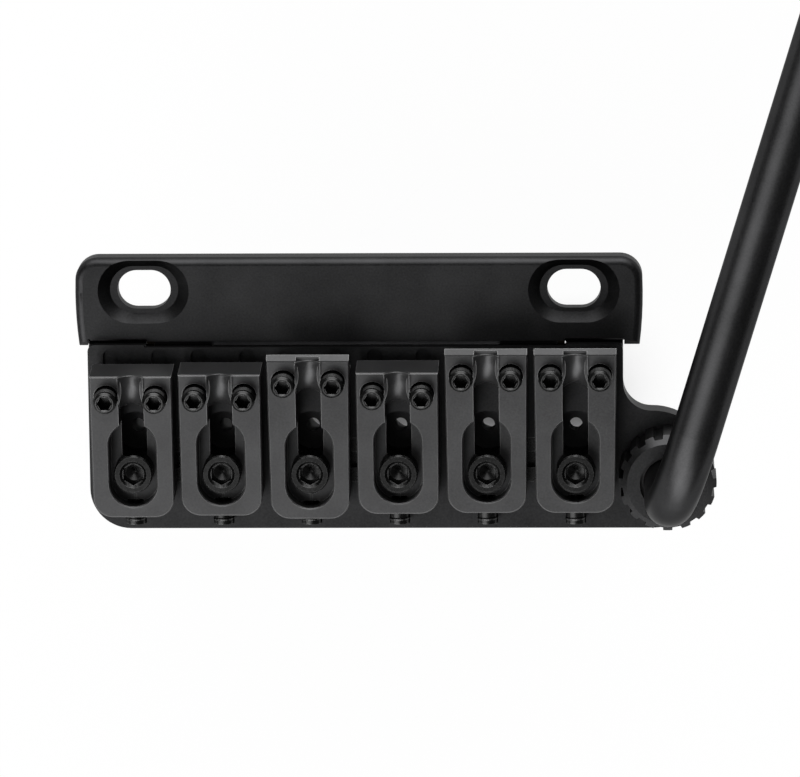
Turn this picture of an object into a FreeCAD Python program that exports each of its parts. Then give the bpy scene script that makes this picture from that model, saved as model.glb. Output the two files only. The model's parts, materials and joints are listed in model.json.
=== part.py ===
"""Guitar tremolo bridge: a hinged bridge with six saddles, an inertia block and a swinging arm.

Millimetres. The origin is midway between the two mounting slots, on the mounting plate's underside,
which is the face that sits on the guitar. +X points to the arm's side, +Y to the neck and +Z up.
"""
import FreeCAD, Part
import os
import re
import Sketcher

doc = FreeCAD.newDocument("TremoloBridge")
sheet = doc.addObject("Spreadsheet::Sheet", "Sizes")

SIZES = {
    # Mounting plate
    "plate_width": 69.6,
    "plate_front": 4.1,
    "plate_back": 6.8,
    "plate_thickness": 3.35,
    "plate_rear_inset": 0.35,
    "plate_front_inset": 0.2,
    "plate_side_radius": 50.0,
    "plate_corner_radius": 2.8,
    "plate_edge_radius": 1.0,
    "plate_rear_chamfer": 0.54,
    "slot_spacing": 52.8,
    "slot_length": 6.55,
    "slot_width": 4.8,
    "slot_web": 1.9,
    "dish_length": 11.2,
    "dish_width": 8.0,
    "dish_floor_length": 8.4,
    "dish_floor_width": 5.8,
    # Hinge
    "pivot_back": 8.6,
    "pivot_height": 2.3,
    "shaft_radius": 1.1,
    "shaft_recess": 0.4,
    "press_gap": 0.02,
    "running_gap": 0.05,
    "swing_gap": 0.25,
    "bridge_shift": 0.4,
    "bed_thickness": 0.9,
    "bed_back": 9.6,
    "lug_gap": 0.58,
    "knuckle_radius": 1.7,
    "knuckle_width": 7.0,
    "knuckle_neck": 2.2,
    "lug_width": 7.0,
    "lug_radius": 2.25,
    "lug_step": 0.3,
    "lug_corner_radius": 0.8,
    "bush_radius": 1.6,
    "bush_flange_radius": 1.8,
    "bush_flange_thickness": 1.0,
    "bush_flange_gap": 0.25,
    "side_play": 0.15,
    "shaft_screw_radius": 0.75,
    "shaft_screw_socket": 0.9,
    "shaft_screw_socket_depth": 0.4,
    # Base plate
    "base_margin": 5.8,
    "base_bottom": 2.0,
    "base_thickness": 3.4,
    "base_front": 6.6,
    "base_back": 29.3,
    "base_lip": 1.0,
    "base_corner_radius": 5.0,
    "ear_front": 14.6,
    "ear_reach": 3.6,
    "ear_fillet": 3.5,
    "groove_width": 1.9,
    "groove_depth": 0.5,
    "groove_front": 6.8,
    "groove_end": 15.3,
    "string_pitch": 10.8,
    "string_hole_radius": 2.7,
    "string_hole_back": 17.3,
    # Inertia block and its screws
    "block_margin": 4.0,
    "block_front": 11.6,
    "block_rear": 24.4,
    "block_depth": 37.0,
    "block_step": 9.0,
    "block_toe_front": 17.6,
    "block_toe_rear": 28.0,
    "block_edge": 1.2,
    "bore_radius": 0.8,
    "bore_length": 7.5,
    "bore_tilt": 8.5,
    "bore_back": 16.95,
    "ball_bore_radius": 2.6,
    "spring_hole_radius": 1.2,
    "spring_hole_depth": 8.0,
    "spring_hole_inset": 3.2,
    "block_screw_back": 20.7,
    "block_screw_radius": 1.5,
    "block_screw_head_radius": 2.8,
    "block_screw_length": 9.0,
    "block_screw_socket": 2.0,
    # Saddles
    "saddle_width": 10.0,
    "saddle_thickness": 5.0,
    "saddle_tilt": 7.0,
    "saddle_gap": 0.1,
    "saddle_corner_radius": 2.4,
    "short_length": 18.13,
    "long_length": 20.25,
    "short_tail_inset": 0.05,
    "long_tail_inset": 0.2,
    "edge_break": 0.13,
    "nose_reach": 0.62,
    "nose_drop": 0.79,
    "nose_foot": 1.35,
    "saddle_one_back": 26.2,
    "saddle_two_back": 26.0,
    "saddle_three_back": 26.4,
    "saddle_four_back": 25.8,
    "saddle_five_back": 25.7,
    "saddle_six_back": 25.7,
    "well_width": 5.8,
    "well_rear": 0.75,
    "well_front": 11.5,
    "well_floor": 2.45,
    "keyway_width": 3.1,
    "keyway_rear": 2.0,
    "throat_length": 3.6,
    "throat_front_width": 2.85,
    "throat_radius": 4.45,
    "crest_length": 4.1,
    "crest_front_drop": 0.55,
    "crest_rear_drop": 2.2,
    "crest_radius": 5.9,
    "height_screw_spacing": 5.98,
    "height_screw_inset": 2.6,
    "height_hole_radius": 1.53,
    "intonation_height": 1.55,
    "intonation_hole_radius": 1.35,
    "intonation_hole_depth": 1.15,
    "intonation_pilot_radius": 0.88,
    # Screws of the saddles
    "height_screw_radius": 1.35,
    "height_screw_length": 10.0,
    "height_screw_point_radius": 0.75,
    "height_screw_point": 0.8,
    "height_screw_cone": 0.65,
    "height_screw_edge": 0.25,
    "height_screw_mouth": 0.97,
    "height_screw_mouth_floor": 0.87,
    "height_screw_mouth_depth": 0.1,
    "height_screw_socket": 1.6,
    "height_screw_socket_depth": 2.0,
    "tip_gap": 0.12,
    "lock_screw_back": 21.32,
    "lock_screw_radius": 1.45,
    "lock_head_radius": 2.38,
    "lock_head_height": 3.0,
    "lock_head_edge": 0.18,
    "lock_head_gap": 0.15,
    "lock_screw_mouth": 1.66,
    "lock_screw_mouth_floor": 1.35,
    "lock_screw_mouth_depth": 0.3,
    "lock_screw_socket": 2.4,
    "lock_screw_socket_depth": 1.6,
    "lock_screw_drill_radius": 1.0,
    "lock_screw_drill_depth": 0.5,
    "lock_screw_recess": 0.2,
    "intonation_screw_radius": 1.25,
    "intonation_screw_length": 2.4,
    "intonation_point_radius": 0.65,
    "intonation_point_length": 3.0,
    "intonation_screw_socket": 1.3,
    "intonation_screw_socket_depth": 1.4,
    # Arm and its socket
    "arm_inset": 1.8,
    "arm_axis_back": 22.35,
    "arm_radius": 2.9,
    "arm_turn_angle": 16.5,
    "arm_rise_angle": 4.0,
    "arm_upright": 21.0,
    "arm_bend_radius": 12.0,
    "arm_length": 140.0,
    "arm_end_radius": 2.6,
    "arm_foot_chamfer": 0.5,
    "socket_radius": 4.0,
    "socket_floor": 0.8,
    "socket_flange_radius": 5.0,
    "socket_flange_thickness": 0.9,
    "socket_top": 10.2,
    "collet_height": 0.9,
    "collet_gap": 0.05,
    "collet_slit": 1.0,
    "ring_radius": 5.95,
    "ring_foot_gap": 0.2,
    "ring_height": 6.6,
    "ring_bore_radius": 3.4,
    "ring_gap": 0.1,
    "ring_chamfer": 1.0,
    "ring_notch_width": 1.0,
    "ring_notch_flare": 0.4,
    "ring_notch_depth": 0.45,
    # How far cuts run past the faces that they cut
    "overrun": 1.0,
}

RING_NOTCHES = 16
STRINGS = 6
SPRING_HOLES = 5
BLOCK_SCREWS = 3
SADDLES = (
    ("one", "short"),
    ("two", "short"),
    ("three", "long"),
    ("four", "short"),
    ("five", "long"),
    ("six", "long"),
)
LEFT_STRING = "-string_pitch * 5 / 2"
BASE_TOP = "(base_bottom + base_thickness)"
SEAT = "(base_bottom + base_thickness + saddle_gap)"
LOCK_SEAT = f"({SEAT} + well_floor + lock_head_gap)"
BASE_HALF = "(string_pitch * 5 / 2 + base_margin)"
BLOCK_HALF = "(string_pitch * 5 / 2 + block_margin)"
LUG_INNER = f"({BASE_HALF} - lug_width)"
KNUCKLE_OUTER = f"({LUG_INNER} - bush_flange_thickness - side_play)"
EAR_RADIUS = "((base_back - ear_front) / 2)"
EAR_END = f"({BASE_HALF} + ear_reach)"
ARM_AXIS = f"({EAR_END} + arm_inset)"

for row, (alias, size) in enumerate(SIZES.items(), start=1):
    cell = f"A{row}"
    sheet.set(cell, str(size))
    sheet.setAlias(cell, alias)
doc.recompute()

parts = []


def cells(text):
    """Point each size name in an expression at its cell of the sheet."""
    return re.sub(r"[a-z_]+", lambda word: f"Sizes.{word[0]}" if word[0] in SIZES else word[0], text)


def value(text):
    """Work an expression of size names out to a number."""
    return float(sheet.evalExpression(cells(text)))


def bind(item, settings):
    """Bind properties of an object to expressions of size names."""
    for name, text in settings.items():
        item.setExpression(name, cells(text))


def new_part(name, x="0", y="0", z="0"):
    """Start a sub-part as a body at a place given in size names."""
    body = doc.addObject("PartDesign::Body", name)
    body.Label = name
    bind(body, {"Placement.Base.x": x, "Placement.Base.y": y, "Placement.Base.z": z})
    parts.append(body)
    return body


def origin_feature(body, role):
    return next(item for item in body.Origin.OriginFeatures if item.Role == role)


def new_sketch(body, name, role, x="0", y="0", z="0", tilt=None):
    """Attach a sketch to an origin plane, shifted in the plane's own axes and tilted about its x axis."""
    sketch = body.newObject("Sketcher::SketchObject", name)
    sketch.AttachmentSupport = [(origin_feature(body, role), "")]
    sketch.MapMode = "FlatFace"
    bind(sketch, {"AttachmentOffset.Base.x": x, "AttachmentOffset.Base.y": y, "AttachmentOffset.Base.z": z})
    if tilt:
        sketch.AttachmentOffset = FreeCAD.Placement(
            sketch.AttachmentOffset.Base, FreeCAD.Rotation(FreeCAD.Vector(1, 0, 0), value(tilt)))
        bind(sketch, {"AttachmentOffset.Rotation.Angle": tilt})
    return sketch


def fix(sketch, kind, text, *where):
    """Add a dimension and bind it to an expression of size names."""
    index = sketch.addConstraint(Sketcher.Constraint(kind, *where, value(text)))
    bind(sketch, {f"Constraints[{index}]": text})


def fix_point(sketch, shape, point, x, y):
    fix(sketch, "DistanceX", x, -1, 1, shape, point)
    fix(sketch, "DistanceY", y, -1, 1, shape, point)


def arc_between(start, end, radius):
    """The shorter arc from start to end: left of the way for a radius above zero, else right."""
    middle = (start + end) / 2
    half = (end - start) / 2
    side = FreeCAD.Vector(-half.y, half.x, 0).normalize()
    reach = max(radius * radius - half.Length ** 2, 0) ** 0.5
    turn = 1 if radius > 0 else -1
    centre = middle + side * reach * turn
    crown = centre + (middle - side * half.Length * turn - centre).normalize() * abs(radius)
    return Part.Arc(start, crown, end)


def outline(sketch, corners):
    """Draw a closed outline. A corner's third entry starts an arc of that radius, below zero clockwise."""
    places = [FreeCAD.Vector(value(corner[0]), value(corner[1]), 0) for corner in corners]
    first = sketch.GeometryCount
    ends = []
    for number, corner in enumerate(corners):
        start = places[number]
        end = places[(number + 1) % len(corners)]
        if len(corner) == 2:
            shape = sketch.addGeometry(Part.LineSegment(start, end))
            ends.append((1, 2))
        else:
            radius = value(corner[2])
            shape = sketch.addGeometry(arc_between(start, end, radius))
            ends.append((1, 2) if radius > 0 else (2, 1))
    for number, corner in enumerate(corners):
        shape = first + number
        after = (number + 1) % len(corners)
        sketch.addConstraint(
            Sketcher.Constraint("Coincident", shape, ends[number][1], first + after, ends[after][0]))
        fix_point(sketch, shape, ends[number][0], corner[0], corner[1])
        if len(corner) == 3:
            fix(sketch, "Radius", f"abs({corner[2]})", shape)


def rectangle(sketch, left, right, low, high):
    outline(sketch, [(left, low), (right, low), (right, high), (left, high)])


def circle(sketch, x, y, radius):
    shape = sketch.addGeometry(
        Part.Circle(FreeCAD.Vector(value(x), value(y), 0), FreeCAD.Vector(0, 0, 1), value(radius)))
    fix(sketch, "Radius", radius, shape)
    fix_point(sketch, shape, 3, x, y)


def hexagon(sketch, x, y, across, upright=False):
    """Draw a hexagon from its width across flats, with two corners level with its centre or upright."""
    half = f"({across} / 2)"
    corner = f"({across} / sqrt(3))"
    ring = [(corner, "0"), (f"{corner} / 2", half), (f"-{corner} / 2", half)]
    ring += [(f"-{corner}", "0"), (f"-{corner} / 2", f"-{half}"), (f"{corner} / 2", f"-{half}")]
    if upright:
        ring = [(across_y, across_x) for across_x, across_y in ring]
    outline(sketch, [(f"{x} + {across_x}", f"{y} + {across_y}") for across_x, across_y in ring])


def stadium(sketch, x, y, length, width, upright=False):
    """Draw a slot with round ends, along the sketch's x axis or upright along its y axis."""
    reach = value(f"({length} - {width}) / 2")
    radius = value(f"{width} / 2")
    centre = FreeCAD.Vector(value(x), value(y), 0)
    along = FreeCAD.Vector(0, 1, 0) if upright else FreeCAD.Vector(1, 0, 0)
    side = FreeCAD.Vector(-along.y, along.x, 0) * radius
    far = centre + along * reach
    near = centre - along * reach
    lower = sketch.addGeometry(Part.LineSegment(near - side, far - side))
    front = sketch.addGeometry(Part.Arc(far - side, far + along * radius, far + side))
    upper = sketch.addGeometry(Part.LineSegment(far + side, near + side))
    rear = sketch.addGeometry(Part.Arc(near + side, near - along * radius, near - side))
    for first, second in ((lower, front), (front, upper), (upper, rear), (rear, lower)):
        sketch.addConstraint(Sketcher.Constraint("Tangent", first, 2, second, 1))
    shift = f"({length} - {width}) / 2"
    for end, sign in ((front, "+"), (rear, "-")):
        end_x = x if upright else f"{x} {sign} {shift}"
        end_y = f"{y} {sign} {shift}" if upright else y
        fix_point(sketch, end, 3, end_x, end_y)
        fix(sketch, "Radius", f"{width} / 2", end)


def body_volume(body):
    return body.Tip.Shape.Volume if body.Tip else 0


def add_feature(body, kind, name, sketch, grows, settings, **options):
    """Add a sketched feature, and stop where it doesn't change the body's volume as it should."""
    before = body_volume(body)
    feature = body.newObject(kind, name)
    feature.Profile = sketch
    for option, choice in options.items():
        setattr(feature, option, choice)
    bind(feature, settings)
    doc.recompute()
    after = feature.Shape.Volume
    if (after > before) != grows or after == before:
        raise RuntimeError(f"{body.Label}: {name} changes the volume from {before} to {after}")
    return feature


def pad(body, name, sketch, length, both=False, down=False):
    side = "Symmetric" if both else "One side"
    return add_feature(
        body, "PartDesign::Pad", name, sketch, True, {"Length": length}, SideType=side, Reversed=down)


def pocket(body, name, sketch, depth=None, both=False, up=False):
    """Cut a sketch into the body: against its normal, with it (up), both ways, or right through."""
    side = "Symmetric" if both else "One side"
    settings = {"Length": depth} if depth else {}
    kind = "Length" if depth else "ThroughAll"
    return add_feature(
        body, "PartDesign::Pocket", name, sketch, False, settings, Type=kind, SideType=side, Reversed=up)


def turned(body, name, sketch, axis="V_Axis", cut=False):
    kind = "PartDesign::Groove" if cut else "PartDesign::Revolution"
    return add_feature(body, kind, name, sketch, not cut, {}, ReferenceAxis=(sketch, [axis]))


def pattern_row(body, name, features, count, length):
    """Repeat features along +X."""
    row = body.newObject("PartDesign::LinearPattern", name)
    row.Originals = features
    row.Direction = (origin_feature(body, "X_Axis"), [""])
    row.Occurrences = count
    bind(row, {"Length": length})
    body.Tip = row
    doc.recompute()
    return row


def mirror_across(body, name, features, role="YZ_Plane"):
    mirrored = body.newObject("PartDesign::Mirrored", name)
    mirrored.Originals = features
    mirrored.MirrorPlane = (origin_feature(body, role), [""])
    body.Tip = mirrored
    doc.recompute()
    return mirrored


def edges_through(body, places):
    """Name the edges of the body that pass through places given in size names, in the body's own axes."""
    shape = body.Tip.Shape
    names = []
    for place in places:
        point = Part.Vertex(*(value(text) for text in place))
        nearest = min(range(len(shape.Edges)), key=lambda number: shape.Edges[number].distToShape(point)[0])
        names.append(f"Edge{nearest + 1}")
    return names


def ease_edges(body, kind, name, size, places):
    """Round or chamfer the edges of the body that pass through the given places."""
    base = body.Tip
    picked = edges_through(body, places)
    eased = body.newObject(kind, name)
    eased.Base = (base, picked)
    bind(eased, {"Radius" if kind.endswith("Fillet") else "Size": size})
    doc.recompute()
    return eased


def fillet(body, name, radius, places):
    return ease_edges(body, "PartDesign::Fillet", name, radius, places)


def chamfer(body, name, size, places):
    return ease_edges(body, "PartDesign::Chamfer", name, size, places)


def build_mounting_plate():
    """Front plate: dished slots for the studs, and a hinge bed with two knuckles for the shaft."""
    body = new_part("mounting_plate")
    rear = "plate_width / 2 - plate_rear_inset"
    front = "plate_width / 2 - plate_front_inset"
    sketch = new_sketch(body, "plate_outline", "XY_Plane")
    outline(sketch, [
        (f"-({rear})", "-plate_back"),
        (rear, "-plate_back", "plate_side_radius"),
        (front, "plate_front"),
        (f"-({front})", "plate_front", "plate_side_radius"),
    ])
    pad(body, "plate", sketch, "plate_thickness")
    corners = [(f"{side}({front})", "plate_front", "plate_thickness / 2") for side in ("", "-")]
    fillet(body, "plate_corners", "plate_corner_radius", corners)
    chamfer(body, "rear_edge", "plate_rear_chamfer", [("0", "-plate_back", "plate_thickness")])
    fillet(body, "front_edge", "plate_edge_radius", [("0", "plate_front", "plate_thickness")])
    for side, sign in (("left", "-"), ("right", "")):
        middle = f"{sign}slot_spacing / 2"
        floor = new_sketch(body, f"{side}_dish_floor", "XY_Plane", z="slot_web")
        stadium(floor, middle, "0", "dish_floor_length", "dish_floor_width")
        rim = new_sketch(body, f"{side}_dish_rim", "XY_Plane", z="plate_thickness")
        stadium(rim, middle, "0", "dish_length", "dish_width")
        add_feature(body, "PartDesign::SubtractiveLoft", f"{side}_dish", floor, False, {}, Sections=[rim])
    slots = new_sketch(body, "slot_outline", "XY_Plane")
    for sign in ("-", ""):
        stadium(slots, f"{sign}slot_spacing / 2", "0", "slot_length", "slot_width")
    pocket(body, "slots", slots, both=True)
    bed = new_sketch(body, "hinge_bed_outline", "XY_Plane", x="-bridge_shift")
    rectangle(bed, f"-{BASE_HALF}", BASE_HALF, "-bed_back", "-plate_back + plate_rear_chamfer")
    pad(body, "hinge_bed", bed, "bed_thickness")
    for name, end, start, radius in (
            ("lug", f"({BASE_HALF} + side_play)", f"({LUG_INNER} - side_play)", "lug_radius + lug_gap"),
            ("flange", LUG_INNER, KNUCKLE_OUTER, "bush_flange_radius + bush_flange_gap")):
        relief = new_sketch(body, f"{name}_relief_profile", "YZ_Plane", z=f"-bridge_shift - {end}")
        circle(relief, "-pivot_back", "pivot_height", radius)
        left_relief = pocket(body, f"left_{name}_relief", relief, f"{end} - {start}", up=True)
        pattern_row(body, f"{name}_reliefs", [left_relief], 2, f"{end} + {start}")
    low = "pivot_height - knuckle_radius"
    start = f"-bridge_shift - {KNUCKLE_OUTER}"
    neck = new_sketch(body, "knuckle_neck_outline", "YZ_Plane", z=start)
    rectangle(neck, "-pivot_back", "-plate_back + plate_rear_chamfer", low, f"{low} + knuckle_neck")
    neck_pad = pad(body, "knuckle_neck", neck, "knuckle_width")
    eye = new_sketch(body, "knuckle_eye_outline", "YZ_Plane", z=start)
    circle(eye, "-pivot_back", "pivot_height", "knuckle_radius")
    eye_pad = pad(body, "knuckle_eye", eye, "knuckle_width")
    pattern_row(body, "knuckles", [neck_pad, eye_pad], 2, f"2 * {KNUCKLE_OUTER} - knuckle_width")
    bore = new_sketch(body, "shaft_bore_outline", "YZ_Plane")
    circle(bore, "-pivot_back", "pivot_height", "shaft_radius + press_gap")
    pocket(body, "shaft_bore", bore, both=True)
    screw_holes = new_sketch(body, "shaft_screw_hole_outline", "XY_Plane", x="-bridge_shift",
                             z="pivot_height")
    for sign in ("-", ""):
        middle = f"{sign}({KNUCKLE_OUTER} - knuckle_width / 2)"
        circle(screw_holes, middle, "-pivot_back", "shaft_screw_radius + press_gap")
    pocket(body, "shaft_screw_holes", screw_holes)


def build_pivot_shaft():
    """Hinge shaft, held in the knuckles and turning in the bushes."""
    body = new_part("pivot_shaft", x="-bridge_shift", y="-pivot_back", z="pivot_height")
    sketch = new_sketch(body, "shaft_outline", "YZ_Plane")
    circle(sketch, "0", "0", "shaft_radius")
    pad(body, "shaft", sketch, f"2 * ({BASE_HALF} - shaft_recess)", both=True)


def build_shaft_screws():
    """Set screws under the knuckles, which stop the shaft from turning."""
    body = new_part("shaft_screws", x="-bridge_shift", y="-pivot_back", z="pivot_height - knuckle_radius")
    middle = f"({KNUCKLE_OUTER} - knuckle_width / 2)"
    sketch = new_sketch(body, "screw_outline", "XY_Plane")
    circle(sketch, middle, "0", "shaft_screw_radius")
    shank = pad(body, "shank", sketch, "knuckle_radius - shaft_radius - press_gap")
    socket = new_sketch(body, "socket_outline", "XY_Plane")
    hexagon(socket, middle, "0", "shaft_screw_socket")
    cut = pocket(body, "socket", socket, "shaft_screw_socket_depth", up=True)
    mirror_across(body, "both_screws", [shank, cut])


def build_pivot_bushes():
    """Flanged bushes in the base plate's lugs. The flanges run against the knuckles."""
    body = new_part("pivot_bushes", x="-bridge_shift", y="-pivot_back", z="pivot_height")
    bore = "shaft_radius + running_gap"
    sketch = new_sketch(body, "bush_profile", "XY_Plane")
    outline(sketch, [
        (f"{LUG_INNER} - bush_flange_thickness", bore),
        (f"{BASE_HALF} - shaft_recess", bore),
        (f"{BASE_HALF} - shaft_recess", "bush_radius"),
        (LUG_INNER, "bush_radius"),
        (LUG_INNER, "bush_flange_radius"),
        (f"{LUG_INNER} - bush_flange_thickness", "bush_flange_radius"),
    ])
    bush = turned(body, "bush", sketch, "H_Axis")
    mirror_across(body, "both_bushes", [bush])


def build_base_plate():
    """Bridge plate with the ear for the arm, the hinge lugs, grooves for screw tips and string holes."""
    body = new_part("base_plate", x="-bridge_shift")
    half = BASE_HALF
    lug_front = "-(base_front - lug_step)"
    sketch = new_sketch(body, "base_outline", "XY_Plane", z="base_bottom")
    outline(sketch, [
        (f"-{half}", "-base_back"),
        (EAR_END, "-base_back", EAR_RADIUS),
        (f"{EAR_END} + {EAR_RADIUS}", f"-base_back + {EAR_RADIUS}", EAR_RADIUS),
        (EAR_END, "-ear_front"),
        (half, "-ear_front"),
        (half, lug_front),
        (LUG_INNER, lug_front),
        (LUG_INNER, "-base_front"),
        (f"-{LUG_INNER}", "-base_front"),
        (f"-{LUG_INNER}", lug_front),
        (f"-{half}", lug_front),
    ])
    pad(body, "base", sketch, "base_thickness")
    middle = "base_bottom + base_thickness / 2"
    fillet(body, "rear_corner", "base_corner_radius", [(f"-{half}", "-base_back", middle)])
    fillet(body, "ear_root", "ear_fillet", [(half, "-ear_front", middle)])
    fillet(body, "lug_corners", "lug_corner_radius",
           [(half, lug_front, middle), (f"-{half}", lug_front, middle)])
    undercut = new_sketch(body, "front_undercut_profile", "YZ_Plane")
    top = f"{BASE_TOP} - base_lip"
    inner = "-pivot_back + knuckle_radius / 2"
    relief = "knuckle_radius + swing_gap"
    outline(undercut, [
        (inner, "base_bottom - overrun"),
        (f"{lug_front} + overrun", "base_bottom - overrun"),
        (f"{lug_front} + overrun", top),
        ("-base_front", top),
        (inner, f"pivot_height + {relief}"),
    ])
    pocket(body, "front_undercut", undercut, both=True)
    lug = new_sketch(body, "lug_profile", "YZ_Plane", z=LUG_INNER)
    circle(lug, "-pivot_back", "pivot_height", "lug_radius")
    lug_pad = pad(body, "lug", lug, "lug_width")
    mirror_across(body, "lugs", [lug_pad])
    channel = new_sketch(body, "hinge_channel_profile", "YZ_Plane")
    circle(channel, "-pivot_back", "pivot_height", relief)
    pocket(body, "hinge_channel", channel, f"2 * {LUG_INNER}", both=True)
    bore = new_sketch(body, "bush_bore_outline", "YZ_Plane")
    circle(bore, "-pivot_back", "pivot_height", "bush_radius + press_gap")
    pocket(body, "bush_bores", bore, both=True)
    grooves = new_sketch(body, "groove_outline", "XY_Plane", z=BASE_TOP)
    for sign in ("-", "+"):
        middle = f"{LEFT_STRING} {sign} height_screw_spacing / 2"
        stadium(grooves, middle, "-(groove_front + groove_end) / 2",
                "(groove_end - groove_front)", "groove_width", upright=True)
    first_grooves = pocket(body, "first_grooves", grooves, "groove_depth")
    span = f"{STRINGS - 1} * string_pitch"
    pattern_row(body, "grooves", [first_grooves], STRINGS, span)
    holes = new_sketch(body, "string_hole_outline", "XY_Plane", z=BASE_TOP)
    circle(holes, LEFT_STRING, "-string_hole_back", "string_hole_radius")
    circle(holes, LEFT_STRING, "-lock_screw_back", "lock_screw_radius + press_gap")
    first_holes = pocket(body, "first_holes", holes)
    pattern_row(body, "string_and_screw_holes", [first_holes], STRINGS, span)
    countersink = new_sketch(
        body, "countersink_profile", "XZ_Plane", x="-2 * string_pitch", y=BASE_TOP, z="block_screw_back")
    outline(countersink, block_screw_profile("press_gap", "base_thickness + overrun"))
    first_sink = turned(body, "first_countersink", countersink, cut=True)
    pattern_row(body, "countersinks", [first_sink], BLOCK_SCREWS, "4 * string_pitch")
    eye = new_sketch(body, "socket_hole_outline", "XY_Plane", z=BASE_TOP)
    circle(eye, ARM_AXIS, "-arm_axis_back", "socket_radius + press_gap")
    pocket(body, "socket_hole", eye)
    seat = new_sketch(body, "socket_seat_outline", "XY_Plane", z="base_bottom")
    circle(seat, ARM_AXIS, "-arm_axis_back", "socket_flange_radius + press_gap")
    pocket(body, "socket_seat", seat, "socket_flange_thickness + press_gap", up=True)


def block_screw_profile(gap, length):
    """Half of a countersunk screw, hung from the plate's top face, wider by a gap for its hole."""
    shank = f"block_screw_radius + {gap}"
    cone = "block_screw_head_radius - block_screw_radius"
    return [
        ("0", "0"),
        (f"block_screw_head_radius + {gap}", "0"),
        (shank, f"-({cone})"),
        (shank, f"-({length})"),
        ("0", f"-({length})"),
    ]


def build_inertia_block():
    """Block under the base plate, with leaning string bores, wide below for ball ends, and spring holes."""
    body = new_part("inertia_block", x="-bridge_shift", z="base_bottom")
    profile = new_sketch(body, "block_profile", "YZ_Plane")
    outline(profile, [
        ("-block_rear", "0"),
        ("-block_rear", "-block_step"),
        ("-block_toe_rear", "-block_depth"),
        ("-block_toe_front", "-block_depth"),
        ("-block_front", "0"),
    ])
    pad(body, "block", profile, f"2 * {BLOCK_HALF}", both=True)
    middle = "-(block_toe_front + block_toe_rear) / 2"
    chamfer(body, "block_edges", "block_edge", [
        (BLOCK_HALF, middle, "-block_depth"),
        (f"-{BLOCK_HALF}", middle, "-block_depth"),
        ("0", "-block_toe_front", "-block_depth"),
        ("0", "-block_toe_rear", "-block_depth"),
    ])
    span = f"{STRINGS - 1} * string_pitch"
    bores = new_sketch(body, "bore_outline", "XY_Plane", y="-bore_back", tilt="-bore_tilt")
    circle(bores, LEFT_STRING, "0", "bore_radius")
    first_bore = pocket(body, "first_bore", bores, both=True)
    balls = new_sketch(
        body, "ball_bore_outline", "XY_Plane", y="-bore_back - bore_length * tan(bore_tilt)",
        z="-bore_length", tilt="-bore_tilt")
    circle(balls, LEFT_STRING, "0", "ball_bore_radius")
    first_ball = pocket(body, "first_ball_bore", balls)
    pattern_row(body, "string_bores", [first_bore, first_ball], STRINGS, span)
    springs = new_sketch(body, "spring_hole_outline", "XY_Plane", z="-block_depth")
    circle(springs, "-2 * string_pitch", "-block_toe_front - spring_hole_inset", "spring_hole_radius")
    first_spring = pocket(body, "first_spring_hole", springs, "spring_hole_depth", up=True)
    pattern_row(body, "spring_holes", [first_spring], SPRING_HOLES, "4 * string_pitch")
    screws = new_sketch(body, "screw_hole_outline", "XY_Plane")
    circle(screws, "-2 * string_pitch", "-block_screw_back", "block_screw_radius + press_gap")
    first_screw = pocket(body, "first_screw_hole", screws, "block_screw_length")
    pattern_row(body, "screw_holes", [first_screw], BLOCK_SCREWS, "4 * string_pitch")


def build_block_screws():
    """Countersunk screws that hold the block to the base plate."""
    body = new_part("block_screws", x="-2 * string_pitch - bridge_shift", y="-block_screw_back", z=BASE_TOP)
    profile = new_sketch(body, "screw_profile", "XZ_Plane")
    outline(profile, block_screw_profile("0", "block_screw_length"))
    screw = turned(body, "screw", profile)
    socket = new_sketch(body, "socket_outline", "XY_Plane")
    hexagon(socket, "0", "0", "block_screw_socket")
    cut = pocket(body, "socket", socket, "block_screw_head_radius - block_screw_radius")
    pattern_row(body, "all_screws", [screw, cut], BLOCK_SCREWS, "4 * string_pitch")


def leaning(along, up):
    """A point of a saddle's side view, from lengths along its leaning underside and square to it."""
    return (f"({along}) * cos(saddle_tilt) - ({up}) * sin(saddle_tilt)",
            f"({along}) * sin(saddle_tilt) + ({up}) * cos(saddle_tilt)")


def saddle_place(number, name):
    """Place of a saddle's lower rear edge."""
    string = f"{LEFT_STRING} + {number} * string_pitch"
    return {"x": f"{string} - bridge_shift", "y": f"-saddle_{name}_back", "z": SEAT}


def saddle_side(kind):
    """Side view of a saddle. A long one reaches past its underside with a nose."""
    length = f"{kind}_length"
    top = "saddle_thickness"
    foot = "short_length"
    corners = [leaning("0", "0"), leaning(foot, "0")]
    if kind == "long":
        corners.append(leaning(foot, "nose_foot"))
        corners.append(leaning(f"{length} + nose_reach", f"{top} - nose_drop"))
    corners.append(leaning(length, top))
    corners.append(leaning("0", top))
    return corners


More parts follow.
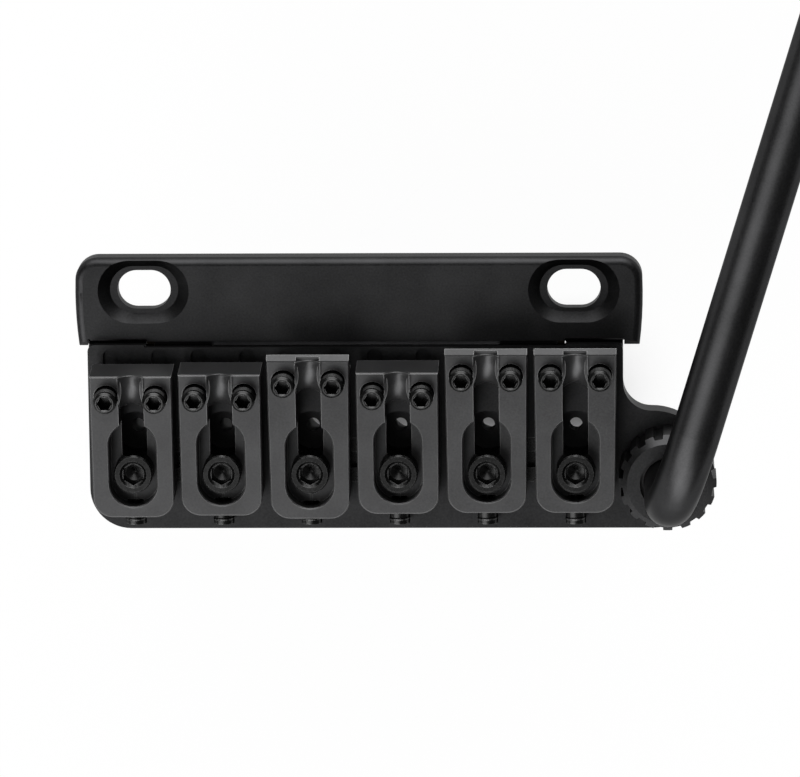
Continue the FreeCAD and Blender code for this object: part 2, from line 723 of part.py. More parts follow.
def build_saddle(number, name, kind):
    """Saddle: string throat with a round crest, a well for the lock screw, and threaded holes."""
    body = new_part(f"saddle_{name}", **saddle_place(number, name))
    length = f"{kind}_length"
    front, front_height = leaning(length, "saddle_thickness")
    side = new_sketch(body, "side_profile", "YZ_Plane")
    outline(side, saddle_side(kind))
    pad(body, "blank", side, "saddle_width", both=True)

    half = "saddle_width / 2"
    lip = "(long_length + nose_reach)" if kind == "long" else "short_length"
    lean = f"({kind}_tail_inset / {lip})"
    skew = f"sqrt(1 + {lean} ^ 2)"
    middle = f"({half} - {kind}_tail_inset + saddle_corner_radius * ({lean} - {skew}))"
    flanks = new_sketch(body, "flank_outline", "XY_Plane", tilt="saddle_tilt")
    for sign in ("", "-"):
        outline(flanks, [
            (f"{sign}({half})", lip),
            (f"{sign}({half} + overrun)", lip),
            (f"{sign}({half} + overrun)", "-overrun"),
            (f"{sign}{middle}", "-overrun"),
            (f"{sign}{middle}", "0", f"{sign}saddle_corner_radius"),
            (f"{sign}({middle} + saddle_corner_radius / {skew})",
             f"saddle_corner_radius * (1 - {lean} / {skew})"),
        ])
    pocket(body, "flanks", flanks, both=True)
    side_y, side_z = leaning("short_length / 2", "saddle_thickness")
    side_x = f"{half} - {lean} * ({lip} - short_length / 2)"
    chamfer(body, "top_edges", "edge_break", [("0", front, front_height), (side_x, side_y, side_z)])

    throat = new_sketch(body, "throat_outline", "XY_Plane")
    mouth = "throat_front_width / 2"
    way = "keyway_width / 2"
    throat_end = f"{front} - throat_length"
    outline(throat, [
        (way, "keyway_rear + keyway_width / 2"),
        (way, throat_end, "-throat_radius"),
        (mouth, front),
        (mouth, f"{front} + overrun"),
        (f"-{mouth}", f"{front} + overrun"),
        (f"-{mouth}", front, "-throat_radius"),
        (f"-{way}", throat_end),
        (f"-{way}", "keyway_rear + keyway_width / 2", way),
        ("0", "keyway_rear", way),
    ])
    pocket(body, "throat", throat, both=True)

    crest = new_sketch(body, "crest_profile", "YZ_Plane")
    crest_rear = f"{length} - crest_length"
    crest_top = "saddle_thickness - crest_front_drop"
    corners = [leaning("short_length", "0")]
    if kind == "long":
        corners.append(leaning("short_length", "nose_foot"))
        corners.append(leaning(f"{length} + nose_reach", "saddle_thickness - nose_drop"))
        corners.append(leaning(f"{length} + nose_reach * crest_front_drop / nose_drop", crest_top))
    corners.append(leaning(length, crest_top) + ("crest_radius",))
    corners.append(leaning(crest_rear, "saddle_thickness - crest_rear_drop"))
    corners.append(leaning(crest_rear, "0"))
    outline(crest, corners)
    pad(body, "crest", crest, "keyway_width + throat_front_width / 2", both=True)

    well = new_sketch(body, "well_outline", "XY_Plane", z="well_floor")
    wall = "well_width / 2"
    outline(well, [
        (wall, f"well_rear + {wall}"),
        (wall, f"well_front - {wall}", wall),
        ("0", "well_front", wall),
        (f"-{wall}", f"well_front - {wall}"),
        (f"-{wall}", f"well_rear + {wall}", wall),
        ("0", "well_rear", wall),
    ])
    pocket(body, "well", well, f"{front_height}", up=True)
    rim_y, rim_z = leaning("(well_rear + well_front) / 2", "saddle_thickness")
    chamfer(body, "well_edges", "edge_break", [(f"{sign}{wall}", rim_y, rim_z) for sign in ("", "-")])

    seat_y, seat_z = leaning(f"{length} - height_screw_inset", "0")
    screws = new_sketch(body, "height_hole_outline", "XY_Plane", y=seat_y, z=seat_z, tilt="saddle_tilt")
    for sign in ("-", ""):
        circle(screws, f"{sign}height_screw_spacing / 2", "0", "height_hole_radius")
    pocket(body, "height_holes", screws, both=True)
    intonation = new_sketch(body, "intonation_hole_outline", "XZ_Plane")
    circle(intonation, "0", "intonation_height", "intonation_hole_radius")
    pocket(body, "intonation_hole", intonation, "2 * intonation_hole_depth", both=True)
    pilot = new_sketch(body, "intonation_pilot_outline", "XZ_Plane")
    circle(pilot, "0", "intonation_height", "intonation_pilot_radius")
    pocket(body, "intonation_pilot", pilot, "2 * (keyway_rear + keyway_width / 2)", both=True)


def build_height_screws(number, name, kind):
    """Pair of set screws that stand in the base plate's grooves and carry a saddle's front."""
    body = new_part(f"height_screws_{name}", **saddle_place(number, name))
    seat = f"({kind}_length - height_screw_inset)"
    drop = f"(saddle_gap + groove_depth - tip_gap + {seat} * sin(saddle_tilt)) / cos(saddle_tilt)"
    middle = "height_screw_spacing / 2"
    point_y, point_z = leaning(seat, f"-({drop})")
    profile = new_sketch(
        body, "screw_profile", "XZ_Plane", x=middle, y=point_z, z=f"-({point_y})", tilt="saddle_tilt")
    outline(profile, [
        ("0", "0"),
        ("height_screw_point_radius", "0"),
        ("height_screw_point_radius", "height_screw_point"),
        ("height_screw_radius", "height_screw_point + height_screw_cone"),
        ("height_screw_radius", "height_screw_length - height_screw_edge"),
        ("height_screw_radius - height_screw_edge", "height_screw_length"),
        ("height_screw_mouth", "height_screw_length"),
        ("height_screw_mouth_floor", "height_screw_length - height_screw_mouth_depth"),
        ("0", "height_screw_length - height_screw_mouth_depth"),
    ])
    screw = turned(body, "screw", profile)
    top_y, top_z = leaning(seat, f"height_screw_length - ({drop})")
    socket = new_sketch(body, "socket_outline", "XY_Plane", y=top_y, z=top_z, tilt="saddle_tilt")
    hexagon(socket, middle, "0", "height_screw_socket")
    cut = pocket(body, "socket", socket, "height_screw_socket_depth")
    mirror_across(body, "both_screws", [screw, cut])


def build_lock_screws():
    """Socket-head screws that lock the saddles to the base plate."""
    body = new_part("lock_screws", x=f"{LEFT_STRING} - bridge_shift", y="-lock_screw_back", z=LOCK_SEAT)
    profile = new_sketch(body, "screw_profile", "XZ_Plane")
    reach = f"({LOCK_SEAT} - base_bottom - lock_screw_recess)"
    outline(profile, [
        ("0", f"-{reach}"),
        ("lock_screw_radius", f"-{reach}"),
        ("lock_screw_radius", "0"),
        ("lock_head_radius", "0"),
        ("lock_head_radius", "lock_head_height - lock_head_edge"),
        ("lock_head_radius - lock_head_edge", "lock_head_height"),
        ("lock_screw_mouth", "lock_head_height"),
        ("lock_screw_mouth_floor", "lock_head_height - lock_screw_mouth_depth"),
        ("0", "lock_head_height - lock_screw_mouth_depth"),
    ])
    screw = turned(body, "screw", profile)
    socket = new_sketch(body, "socket_outline", "XY_Plane", z="lock_head_height")
    hexagon(socket, "0", "0", "lock_screw_socket", upright=True)
    cut = pocket(body, "socket", socket, "lock_screw_socket_depth")
    socket_floor = "lock_head_height - lock_screw_socket_depth"
    drill = new_sketch(body, "drill_point_profile", "XZ_Plane", y=socket_floor)
    outline(drill, [("0", "0"), ("0", "-lock_screw_drill_depth"), ("lock_screw_drill_radius", "0")])
    point = turned(body, "drill_point", drill, cut=True)
    pattern_row(body, "all_screws", [screw, cut, point], STRINGS, f"{STRINGS - 1} * string_pitch")


def build_intonation_screws():
    """Set screws whose points push on the lock screws from behind, under the wells of the saddles."""
    body = new_part(
        "intonation_screws", x=f"{LEFT_STRING} - bridge_shift",
        y="-lock_screw_back - lock_screw_radius - press_gap",
        z=f"{SEAT} + intonation_height")
    point = new_sketch(body, "point_outline", "XZ_Plane")
    circle(point, "0", "0", "intonation_point_radius")
    point_pad = pad(body, "point", point, "intonation_point_length")
    shank = new_sketch(body, "shank_outline", "XZ_Plane", z="intonation_point_length")
    circle(shank, "0", "0", "intonation_screw_radius")
    shank_pad = pad(body, "shank", shank, "intonation_screw_length")
    end = "intonation_point_length + intonation_screw_length"
    socket = new_sketch(body, "socket_outline", "XZ_Plane", z=end)
    hexagon(socket, "0", "0", "intonation_screw_socket")
    cut = pocket(body, "socket", socket, "intonation_screw_socket_depth")
    span = f"{STRINGS - 1} * string_pitch"
    pattern_row(body, "all_screws", [point_pad, shank_pad, cut], STRINGS, span)


def build_arm_socket():
    """Blind sleeve pressed into the ear from below, which the arm stands in."""
    body = new_part("arm_socket", x=f"{ARM_AXIS} - bridge_shift", y="-arm_axis_back")
    bore = "arm_radius + running_gap"
    profile = new_sketch(body, "socket_profile", "XZ_Plane")
    outline(profile, [
        ("0", "base_bottom"),
        ("socket_flange_radius", "base_bottom"),
        ("socket_flange_radius", "base_bottom + socket_flange_thickness"),
        ("socket_radius", "base_bottom + socket_flange_thickness"),
        ("socket_radius", "socket_top"),
        (bore, "socket_top"),
        (bore, "base_bottom + socket_floor"),
        ("0", "base_bottom + socket_floor"),
    ])
    turned(body, "socket", profile)


def build_arm_collet():
    """Split friction ring on top of the socket, which the torque ring presses on the arm."""
    body = new_part("arm_collet", x=f"{ARM_AXIS} - bridge_shift", y="-arm_axis_back", z="socket_top")
    sketch = new_sketch(body, "collet_outline", "XY_Plane")
    circle(sketch, "0", "0", "socket_radius")
    circle(sketch, "0", "0", "arm_radius + running_gap")
    pad(body, "collet", sketch, "collet_height")
    slit = new_sketch(body, "slit_outline", "XY_Plane")
    rectangle(slit, "-collet_slit / 2", "collet_slit / 2", "-socket_radius - overrun", "0")
    pocket(body, "slit", slit, both=True)


def build_torque_ring():
    """Notched ring around the socket, with a lip over the collet."""
    foot = f"{BASE_TOP} + ring_foot_gap"
    body = new_part("torque_ring", x=f"{ARM_AXIS} - bridge_shift", y="-arm_axis_back", z=foot)
    bind(body, {"Placement.Rotation.Angle": f"180 / {RING_NOTCHES}"})
    inner = "socket_radius + ring_gap"
    lip = f"socket_top + collet_height + collet_gap - {BASE_TOP} - ring_foot_gap"
    profile = new_sketch(body, "ring_profile", "XZ_Plane")
    outline(profile, [
        (inner, "0"),
        ("ring_radius", "0"),
        ("ring_radius", "ring_height - ring_chamfer"),
        ("ring_radius - ring_chamfer", "ring_height"),
        ("ring_bore_radius", "ring_height"),
        ("ring_bore_radius", lip),
        (inner, lip),
    ])
    turned(body, "ring", profile)
    sketch = new_sketch(body, "notch_outline", "XY_Plane", z="ring_height")
    floor = "ring_notch_width / 2"
    mouth = "ring_notch_width / 2 + ring_notch_flare"
    outline(sketch, [
        (f"-({floor})", "ring_radius - ring_notch_depth"),
        (floor, "ring_radius - ring_notch_depth"),
        (mouth, "ring_radius + overrun"),
        (f"-({mouth})", "ring_radius + overrun"),
    ])
    notch = pocket(body, "first_notch", sketch)
    notches = body.newObject("PartDesign::PolarPattern", "notches")
    notches.Originals = [notch]
    notches.Axis = (origin_feature(body, "Z_Axis"), [""])
    notches.Angle = 360
    notches.Occurrences = RING_NOTCHES
    body.Tip = notches


def build_tremolo_arm():
    """Bent rod: upright in its socket, then rising gently away over the neck side."""
    body = new_part("tremolo_arm", x=f"{ARM_AXIS} - bridge_shift", y="-arm_axis_back")
    bind(body, {"Placement.Rotation.Angle": "-arm_turn_angle"})
    foot = "base_bottom + socket_floor + running_gap"
    sketch = new_sketch(body, "rod_outline", "XY_Plane", z=foot)
    circle(sketch, "0", "0", "arm_radius")
    path = new_sketch(body, "arm_path", "YZ_Plane")
    bend_y = "arm_bend_radius * (1 - sin(arm_rise_angle))"
    bend_z = "arm_upright + arm_bend_radius * cos(arm_rise_angle)"
    end_y = f"{bend_y} + arm_length * cos(arm_rise_angle)"
    end_z = f"{bend_z} + arm_length * sin(arm_rise_angle)"
    places = [FreeCAD.Vector(value(y), value(z), 0)
              for y, z in (("0", foot), ("0", "arm_upright"), (bend_y, bend_z), (end_y, end_z))]
    upright = path.addGeometry(Part.LineSegment(places[0], places[1]))
    bend = path.addGeometry(arc_between(places[1], places[2], -value("arm_bend_radius")))
    reach = path.addGeometry(Part.LineSegment(places[2], places[3]))
    path.addConstraint(Sketcher.Constraint("Coincident", upright, 2, bend, 2))
    path.addConstraint(Sketcher.Constraint("Coincident", bend, 1, reach, 1))
    fix_point(path, upright, 1, "0", foot)
    fix_point(path, upright, 2, "0", "arm_upright")
    fix_point(path, reach, 1, bend_y, bend_z)
    fix_point(path, reach, 2, end_y, end_z)
    fix(path, "Radius", "arm_bend_radius", bend)
    add_feature(body, "PartDesign::AdditivePipe", "rod", sketch, True, {}, Spine=(path, []))
    chamfer(body, "foot_edge", "arm_foot_chamfer", [("-arm_radius", "0", foot)])
    fillet(body, "end_edge", "arm_end_radius", [("-arm_radius", end_y, end_z)])


def check_and_write():
    """Stop on any failed object or bad shape, then write one STEP file for each sub-part."""
    doc.recompute()
    failed = [item.Label for item in doc.Objects if "Invalid" in item.State or "Error" in item.State]
    if failed:
        raise RuntimeError(f"failed objects: {failed}")
    for body in parts:
        if body.Shape.isNull() or not body.Shape.isValid():
            raise RuntimeError(f"bad shape: {body.Label}")
    os.makedirs("parts", exist_ok=True)
    for body in parts:
        body.Shape.exportStep(f"parts/{body.Label}.step")
        print(body.Label, len(body.Shape.Solids), round(body.Shape.Volume, 3))


build_mounting_plate()
build_pivot_shaft()
build_shaft_screws()
build_pivot_bushes()
build_base_plate()
build_inertia_block()
build_block_screws()
for saddle_number, (saddle_name, saddle_kind) in enumerate(SADDLES):
    build_saddle(saddle_number, saddle_name, saddle_kind)
    build_height_screws(saddle_number, saddle_name, saddle_kind)
build_lock_screws()
build_intonation_screws()
build_arm_socket()
build_arm_collet()
build_torque_ring()
build_tremolo_arm()
check_and_write()
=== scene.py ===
import json
import math

import bpy
from mathutils import Matrix, Vector


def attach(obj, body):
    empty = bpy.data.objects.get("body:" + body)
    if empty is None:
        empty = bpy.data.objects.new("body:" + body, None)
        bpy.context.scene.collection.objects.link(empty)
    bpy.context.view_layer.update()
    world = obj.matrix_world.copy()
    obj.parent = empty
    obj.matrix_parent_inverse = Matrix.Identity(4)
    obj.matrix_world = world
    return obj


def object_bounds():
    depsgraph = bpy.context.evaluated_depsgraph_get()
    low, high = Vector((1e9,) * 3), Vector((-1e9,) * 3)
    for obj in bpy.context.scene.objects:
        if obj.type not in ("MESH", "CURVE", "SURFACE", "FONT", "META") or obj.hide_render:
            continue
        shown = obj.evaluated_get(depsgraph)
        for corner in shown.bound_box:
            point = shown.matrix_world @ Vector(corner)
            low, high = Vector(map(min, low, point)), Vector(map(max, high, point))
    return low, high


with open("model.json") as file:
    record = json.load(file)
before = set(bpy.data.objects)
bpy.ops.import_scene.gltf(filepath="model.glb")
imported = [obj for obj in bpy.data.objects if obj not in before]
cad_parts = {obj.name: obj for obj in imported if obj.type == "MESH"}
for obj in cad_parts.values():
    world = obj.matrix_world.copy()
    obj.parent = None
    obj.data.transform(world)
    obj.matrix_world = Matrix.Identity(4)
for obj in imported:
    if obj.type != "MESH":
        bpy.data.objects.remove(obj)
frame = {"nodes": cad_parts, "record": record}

CAD_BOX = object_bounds()
MM = 0.001
scene = bpy.context.scene

# Node helpers


def feed(tree, socket, value):
    """Links a socket to another node's output, or sets it to a plain value."""
    if isinstance(value, bpy.types.NodeSocket):
        tree.links.new(value, socket)
    else:
        socket.default_value = value


def maths(tree, operation, *values, clamp=False):
    node = tree.nodes.new("ShaderNodeMath")
    node.operation = operation
    node.use_clamp = clamp
    for socket, value in zip(node.inputs, values):
        feed(tree, socket, value)
    return node.outputs["Value"]


def dot_product(tree, first, second):
    node = tree.nodes.new("ShaderNodeVectorMath")
    node.operation = "DOT_PRODUCT"
    feed(tree, node.inputs[0], first)
    feed(tree, node.inputs[1], second)
    return node.outputs["Value"]


def noise(tree, place, scale, detail):
    node = tree.nodes.new("ShaderNodeTexNoise")
    feed(tree, node.inputs["Vector"], place)
    feed(tree, node.inputs["Scale"], scale)
    feed(tree, node.inputs["Detail"], detail)
    return node.outputs["Fac"]


# Finishes

NOISE_ENDS = (0.3, 0.7)
CLOUD_SCALE = 180
CLOUD_DETAIL = 4
CLOUD_SHARE = 0.5
GRAIN_SCALE = 4200
GRAIN_DETAIL = 3
GRAIN_DEPTH = 0.005 * MM
GRAIN_STRENGTH = 0.35
TINT_SWING = 0.28
ROUGH_SWING = 0.1
# The edges get a painted highlight: a lighter grey where the Bevel node's rounded normal turns away from
# the face's normal.
HIGHLIGHT_EDGE_RADIUS = 0.13 * MM
HIGHLIGHT_EDGE_SAMPLES = 6
HIGHLIGHT_EDGE_START = 0.995
HIGHLIGHT_EDGE_FULL = 0.9
MATERIALS = {}


def new_material(name):
    """Kept by name in MATERIALS, because the frame brings materials of the same names."""
    material = bpy.data.materials.new(name)
    MATERIALS[name] = material
    material.use_nodes = True
    tree = material.node_tree
    return tree, tree.nodes["Principled BSDF"]


def swing(tree, source, colour, share):
    """The colour made darker and lighter by a share of itself, as a noise goes from low to high."""
    node = tree.nodes.new("ShaderNodeValToRGB")
    for element, position, factor in zip(node.color_ramp.elements, NOISE_ENDS, (1 - share, 1 + share)):
        element.position = position
        element.color = (*(part * factor for part in colour), 1)
    feed(tree, node.inputs["Fac"], source)
    return node.outputs["Color"]


def painted_edge_highlight(tree, colour, highlight_grey):
    """Painted highlight: a lighter grey painted along the edges, where rounded edges would catch the
    light.
    """
    rounded = tree.nodes.new("ShaderNodeBevel")
    rounded.samples = HIGHLIGHT_EDGE_SAMPLES
    feed(tree, rounded.inputs["Radius"], HIGHLIGHT_EDGE_RADIUS)
    facing = tree.nodes.new("ShaderNodeNewGeometry").outputs["Normal"]
    mask = tree.nodes.new("ShaderNodeMapRange")
    feed(tree, mask.inputs["From Min"], HIGHLIGHT_EDGE_START)
    feed(tree, mask.inputs["From Max"], HIGHLIGHT_EDGE_FULL)
    feed(tree, mask.inputs["Value"], dot_product(tree, rounded.outputs["Normal"], facing))
    mix = tree.nodes.new("ShaderNodeMix")
    mix.data_type = "RGBA"
    feed(tree, mix.inputs["Factor"], mask.outputs["Result"])
    feed(tree, mix.inputs["A"], colour)
    feed(tree, mix.inputs["B"], (highlight_grey, highlight_grey, highlight_grey, 1))
    return mix.outputs["Result"]


def finish(name, tint, rough, edge, metal=1.0, highlight_grey=None, grain_depth=GRAIN_DEPTH):
    """Cloudy tint, with a fine grain in roughness and relief.

    edge is how much it mirrors at grazing angles, and highlight_grey the grey of the highlight painted
    along its edges.
    """
    tree, shader = new_material(name)
    place = tree.nodes.new("ShaderNodeTexCoord").outputs["Object"]
    cloud = noise(tree, place, CLOUD_SCALE, CLOUD_DETAIL)
    grain = noise(tree, place, GRAIN_SCALE, GRAIN_DETAIL)
    fine = maths(tree, "MULTIPLY", grain, 1 - CLOUD_SHARE)
    mottle = maths(tree, "MULTIPLY_ADD", cloud, CLOUD_SHARE, fine)
    colour = swing(tree, mottle, tint, TINT_SWING)
    # Painted highlight: a lighter grey along the edges.
    if highlight_grey:
        colour = painted_edge_highlight(tree, colour, highlight_grey)
    bump = tree.nodes.new("ShaderNodeBump")
    feed(tree, bump.inputs["Strength"], GRAIN_STRENGTH)
    feed(tree, bump.inputs["Distance"], grain_depth)
    feed(tree, bump.inputs["Height"], grain)
    feed(tree, shader.inputs["Base Color"], colour)
    feed(tree, shader.inputs["Roughness"], swing(tree, grain, (rough,) * 3, ROUGH_SWING))
    feed(tree, shader.inputs["Normal"], bump.outputs["Normal"])
    feed(tree, shader.inputs["Metallic"], metal)
    feed(tree, shader.inputs["Specular Tint"], (edge, edge, edge, 1))


finish("plate_black", (0.037, 0.037, 0.038), 0.4, edge=0.55)
# Saddles and screws get a lighter grey painted on their edges as a highlight.
finish("saddle_black", (0.05, 0.05, 0.051), 0.34, edge=0.7, metal=0.6, highlight_grey=0.2)
finish("screw_black", (0.036, 0.036, 0.036), 0.28, edge=0.6, highlight_grey=0.11)
finish("block_black", (0.04, 0.04, 0.042), 0.45, edge=0.8, metal=0.3, grain_depth=0.01 * MM)
finish("ring_black", (0.045, 0.045, 0.046), 0.38, edge=0.6)
finish("arm_black", (0.042, 0.042, 0.043), 0.37, edge=0.5)
finish("polished_steel", (0.55, 0.55, 0.56), 0.22, edge=1.0)
finish("bronze", (0.09, 0.07, 0.045), 0.5, edge=0.5)
finish("collet_plastic", (0.012, 0.012, 0.012), 0.45, edge=1.0, metal=0.0)

for row in frame["record"]["subparts"]:
    node = frame["nodes"][row["node"]]
    node.data.materials.clear()
    node.data.materials.append(MATERIALS[row["material_slot"]])

# The saddles' places, in millimetres: name, rear end behind the stud slots, length

SADDLES = (
    ("one", 26.2, 18.13), ("two", 26.0, 18.13), ("three", 26.4, 20.25),
    ("four", 25.8, 18.13), ("five", 25.7, 20.25), ("six", 25.7, 20.25))
SADDLE_FOOT = 5.5
SADDLE_TILT = math.radians(7)
STRING_PITCH = 10.8
BRIDGE_SHIFT = -0.4


def string_x(number):
    return (number - (len(SADDLES) - 1) / 2) * STRING_PITCH + BRIDGE_SHIFT


def leaning(x, slide, lift):
    """A point of a saddle's leaning frame, from the foot of its rear end: along it and square to it."""
    cosine, sine = math.cos(SADDLE_TILT), math.sin(SADDLE_TILT)
    return Vector((x, slide * cosine - lift * sine, slide * sine + lift * cosine))


def new_mesh(name, verts, faces):
    mesh = bpy.data.meshes.new(name)
    mesh.from_pydata(verts, [], faces)
    return mesh


def add_piece(name, mesh, body, slot):
    piece = bpy.data.objects.new(name, mesh)
    scene.collection.objects.link(piece)
    mesh.materials.append(MATERIALS[slot])
    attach(piece, body)


# Threads on the bare ends of the height screws: each starts just above the saddle, measured from the
# saddle's foot, and ends below the screw's top, measured from the tip, which drops into the base's groove

THREAD_SECTION = (
    ("buried", -0.46), ("root", -0.44), ("crest", -0.07),
    ("crest", 0.07), ("root", 0.44), ("buried", 0.46))
THREAD_STEPS = 28
THREAD_RUNOUT = 0.5 * THREAD_STEPS
THREAD_BURIED = 0.1
THREAD_LEAST = 0.02
HEIGHT_SCREW_INSET = 2.6
HEIGHT_SCREW_SPACING = 5.98
HEIGHT_THREAD = {"root": 1.35, "crest": 1.46, "pitch": 0.5}
HEIGHT_THREAD_START = 5.55
HEIGHT_THREAD_END = 9.55
TIP_DROP = 0.48


def thread_mesh(name, places, root, crest, pitch, start, end):
    """Helical ridges around axes given as pairs of a point and a unit direction, in millimetres."""
    verts = []
    faces = []
    ring = len(THREAD_SECTION)
    count = int((end - start) / pitch * THREAD_STEPS)
    buried = root - THREAD_BURIED
    for point, axis in places:
        side = axis.orthogonal().normalized()
        across = axis.cross(side)
        first = len(verts)
        for step in range(count + 1):
            angle = 2 * math.pi * step / THREAD_STEPS
            height = start + pitch * step / THREAD_STEPS
            fade = min(1, step / THREAD_RUNOUT, (count - step) / THREAD_RUNOUT)
            radii = {
                "buried": buried,
                "root": buried + (root - buried) * fade,
                "crest": buried + (crest - buried) * max(fade, THREAD_LEAST)}
            out = side * math.cos(angle) + across * math.sin(angle)
            for part, rise in THREAD_SECTION:
                verts.append((point + axis * (height + rise * pitch) + out * radii[part]) * MM)
        for low in range(first, first + count * ring, ring):
            for corner in range(ring):
                after = (corner + 1) % ring
                faces.append((low + corner, low + ring + corner, low + ring + after, low + after))
        last = first + count * ring
        faces.append(tuple(range(first, first + ring)))
        faces.append(tuple(reversed(range(last, last + ring))))
    return new_mesh(name, verts, faces)


for number, (name, back, length) in enumerate(SADDLES):
    inset = length - HEIGHT_SCREW_INSET
    drop = (TIP_DROP + inset * math.sin(SADDLE_TILT)) / math.cos(SADDLE_TILT)
    rear_foot = Vector((string_x(number), -back, SADDLE_FOOT))
    places = [(rear_foot + leaning(side * HEIGHT_SCREW_SPACING / 2, inset, -drop), leaning(0, 0, 1))
              for side in (-1, 1)]
    mesh = thread_mesh(f"height_thread_{name}", places, **HEIGHT_THREAD,
                       start=drop + HEIGHT_THREAD_START, end=HEIGHT_THREAD_END)
    add_piece(f"height_thread_{name}", mesh, f"height_screws_{name}", "screw_black")

# String seats: troughs on the saddles' round crests

SEAT_RADIUS = 5.9
SEAT_DROP = 1.451
SEAT_HALF = 1.6
SEAT_RISE = 0.9
SEAT_SKIN = 0.03
SEAT_BURIED = 0.25
SEAT_END_GAP = 0.01
SEAT_SWEEP = math.radians(43.9)
SEAT_COLUMNS = 14
SEAT_ROWS = 18


def string_seat_mesh(name, place, length):
    """Closed strip along a crest, hollow across, in a saddle's leaning frame."""
    verts = []
    faces = []
    for buried in (False, True):
        for row in range(SEAT_ROWS + 1):
            angle = SEAT_SWEEP * row / SEAT_ROWS
            for column in range(SEAT_COLUMNS + 1):
                side = -1 + 2 * column / SEAT_COLUMNS
                hollow = SEAT_SKIN + SEAT_RISE * side * side
                radius = SEAT_RADIUS + (-SEAT_BURIED if buried else hollow)
                slide = length - SEAT_END_GAP - radius * math.sin(angle)
                lift = radius * math.cos(angle) - SEAT_DROP
                verts.append((place + leaning(side * SEAT_HALF, slide, lift)) * MM)
    width = SEAT_COLUMNS + 1
    lower = width * (SEAT_ROWS + 1)
    for row in range(SEAT_ROWS):
        for column in range(SEAT_COLUMNS):
            corner = row * width + column
            faces.append((corner, corner + width, corner + width + 1, corner + 1))
            corner += lower
            faces.append((corner, corner + 1, corner + width + 1, corner + width))
    rim = list(range(width))
    rim += [row * width + SEAT_COLUMNS for row in range(1, SEAT_ROWS + 1)]
    rim += [SEAT_ROWS * width + column for column in range(SEAT_COLUMNS - 1, -1, -1)]
    rim += [row * width for row in range(SEAT_ROWS - 1, 0, -1)]
    smooth = len(faces)
    for here, there in zip(rim, rim[1:] + rim[:1]):
        faces.append((there, there + lower, here + lower, here))
    mesh = new_mesh(name, verts, faces)
    for face in mesh.polygons[:smooth]:
        face.use_smooth = True
    return mesh


for number, (name, back, length) in enumerate(SADDLES):
    rear_foot = Vector((string_x(number), -back, SADDLE_FOOT))
    mesh = string_seat_mesh(f"string_seat_{name}", rear_foot, length)
    add_piece(f"string_seat_{name}", mesh, f"saddle_{name}", "saddle_black")

# Threads of the intonation screws

SHANK_FRONT = -25.77
SHANK_HEIGHT = SADDLE_FOOT + 1.55
SHANK_THREAD = {"root": 1.25, "crest": 1.33, "pitch": 0.45, "start": 1.5, "end": 2.15}
REARWARD = Vector((0, -1, 0))
places = [(Vector((string_x(number), SHANK_FRONT, SHANK_HEIGHT)), REARWARD)
          for number in range(len(SADDLES))]
mesh = thread_mesh("intonation_threads", places, **SHANK_THREAD)
add_piece("intonation_threads", mesh, "bridge", "screw_black")

# White floor, dimmed close to the object so that it keeps the shadow

FLOOR_DROP = 0.8 * MM
FLOOR_REACH = 3.0
FLOOR_GREY = 0.9
FLOOR_ROUGHNESS = 0.8
WHITE_STRENGTH = 1.0
PLAIN_SHARE = 0.03
SHADOW_REACH = 10 * MM
SHADOW_SAMPLES = 4
floor_height = CAD_BOX[0][2] - FLOOR_DROP
floor_mesh = bpy.data.meshes.new("floor")
floor_mesh.from_pydata(
    [(x * FLOOR_REACH, y * FLOOR_REACH, floor_height) for x, y in ((-1, -1), (1, -1), (1, 1), (-1, 1))],
    [], [(0, 1, 2, 3)])
floor = bpy.data.objects.new("floor", floor_mesh)
scene.collection.objects.link(floor)
tree, shader = new_material("floor_white")
feed(tree, shader.inputs["Base Color"], (FLOOR_GREY, FLOOR_GREY, FLOOR_GREY, 1))
feed(tree, shader.inputs["Roughness"], FLOOR_ROUGHNESS)
glow = tree.nodes.new("ShaderNodeEmission")
feed(tree, glow.inputs["Strength"], WHITE_STRENGTH)
path = tree.nodes.new("ShaderNodeLightPath").outputs
seen = maths(tree, "MAXIMUM", path["Is Camera Ray"], path["Is Glossy Ray"])
seen = maths(tree, "MAXIMUM", seen, path["Is Transmission Ray"])
openness = tree.nodes.new("ShaderNodeAmbientOcclusion")
openness.samples = SHADOW_SAMPLES
feed(tree, openness.inputs["Distance"], SHADOW_REACH)
unshaded = maths(tree, "SUBTRACT", openness.outputs["AO"], PLAIN_SHARE, clamp=True)
mix = tree.nodes.new("ShaderNodeMixShader")
feed(tree, mix.inputs["Fac"], maths(tree, "MULTIPLY", seen, unshaded))
feed(tree, mix.inputs[1], shader.outputs["BSDF"])
feed(tree, mix.inputs[2], glow.outputs["Emission"])
feed(tree, tree.nodes["Material Output"].inputs["Surface"], mix.outputs["Shader"])
floor_mesh.materials.append(MATERIALS["floor_white"])

# Soft sky zones, in degrees: turn from the neck's side towards the arm's, elevation, reach; and strength

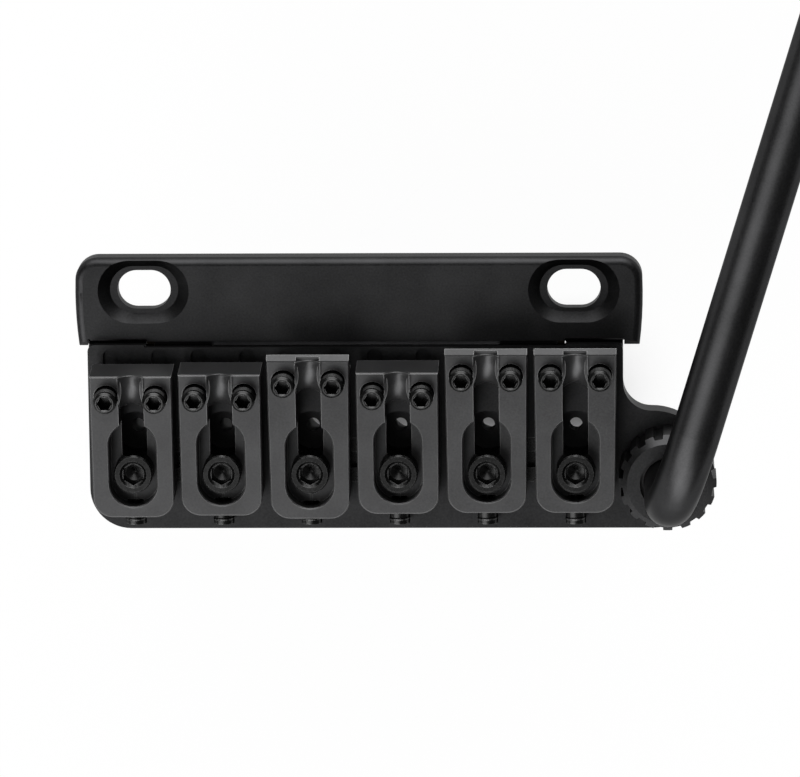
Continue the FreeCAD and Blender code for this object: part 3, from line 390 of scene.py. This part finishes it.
SKY = ((0, 20, 42, 3.5), (228, 43, 40, 3.1), (188, 18, 31, 3.0))
ZONE_CORE = 0.35
AMBIENT = 0.12
world = bpy.data.worlds.new("studio")
scene.world = world
world.use_nodes = True
tree = world.node_tree
direction = tree.nodes.new("ShaderNodeTexCoord").outputs["Generated"]
brightness = AMBIENT
for degrees, elevation, reach, strength in SKY:
    turn = math.radians(degrees)
    rise = math.radians(elevation)
    middle = (math.sin(turn) * math.cos(rise), math.cos(turn) * math.cos(rise), math.sin(rise))
    zone = tree.nodes.new("ShaderNodeMapRange")
    zone.interpolation_type = "SMOOTHSTEP"
    feed(tree, zone.inputs["From Min"], math.cos(math.radians(reach)))
    feed(tree, zone.inputs["From Max"], math.cos(math.radians(reach * ZONE_CORE)))
    feed(tree, zone.inputs["To Max"], strength)
    feed(tree, zone.inputs["Value"], dot_product(tree, direction, middle))
    brightness = maths(tree, "ADD", zone.outputs["Result"], brightness)
feed(tree, tree.nodes["Background"].inputs["Strength"], brightness)
feed(tree, tree.nodes["Background"].inputs["Color"], (1, 1, 1, 1))

# Camera at the photograph's view

AIM = Vector((5.038, -12.074, 4.0)) * MM
DISTANCE = 0.7
NECK_LEAN = math.radians(11.544)
SIDE_LEAN = math.radians(2.325)
ROLL = math.radians(-0.575)
PIXEL = 0.12272 * MM
IMAGE_WIDTH = 800
SENSOR_WIDTH = 36
NEAREST = 0.05
FARTHEST = 20
data = bpy.data.cameras.new("photo_view")
data.sensor_width = SENSOR_WIDTH
data.lens = DISTANCE / PIXEL * SENSOR_WIDTH / IMAGE_WIDTH
data.clip_start = NEAREST
data.clip_end = FARTHEST
away = Vector((math.tan(SIDE_LEAN), math.tan(NECK_LEAN), 1)).normalized()
level = Vector((0, 1, 0)).cross(away).normalized()
right = Matrix.Rotation(ROLL, 3, away) @ level
up = away.cross(right)
turned = Matrix((right, up, away)).transposed().to_4x4()
camera = bpy.data.objects.new("photo_view", data)
camera.matrix_world = Matrix.Translation(AIM + away * DISTANCE) @ turned
scene.collection.objects.link(camera)
scene.camera = camera
scene.view_settings.view_transform = "Standard"
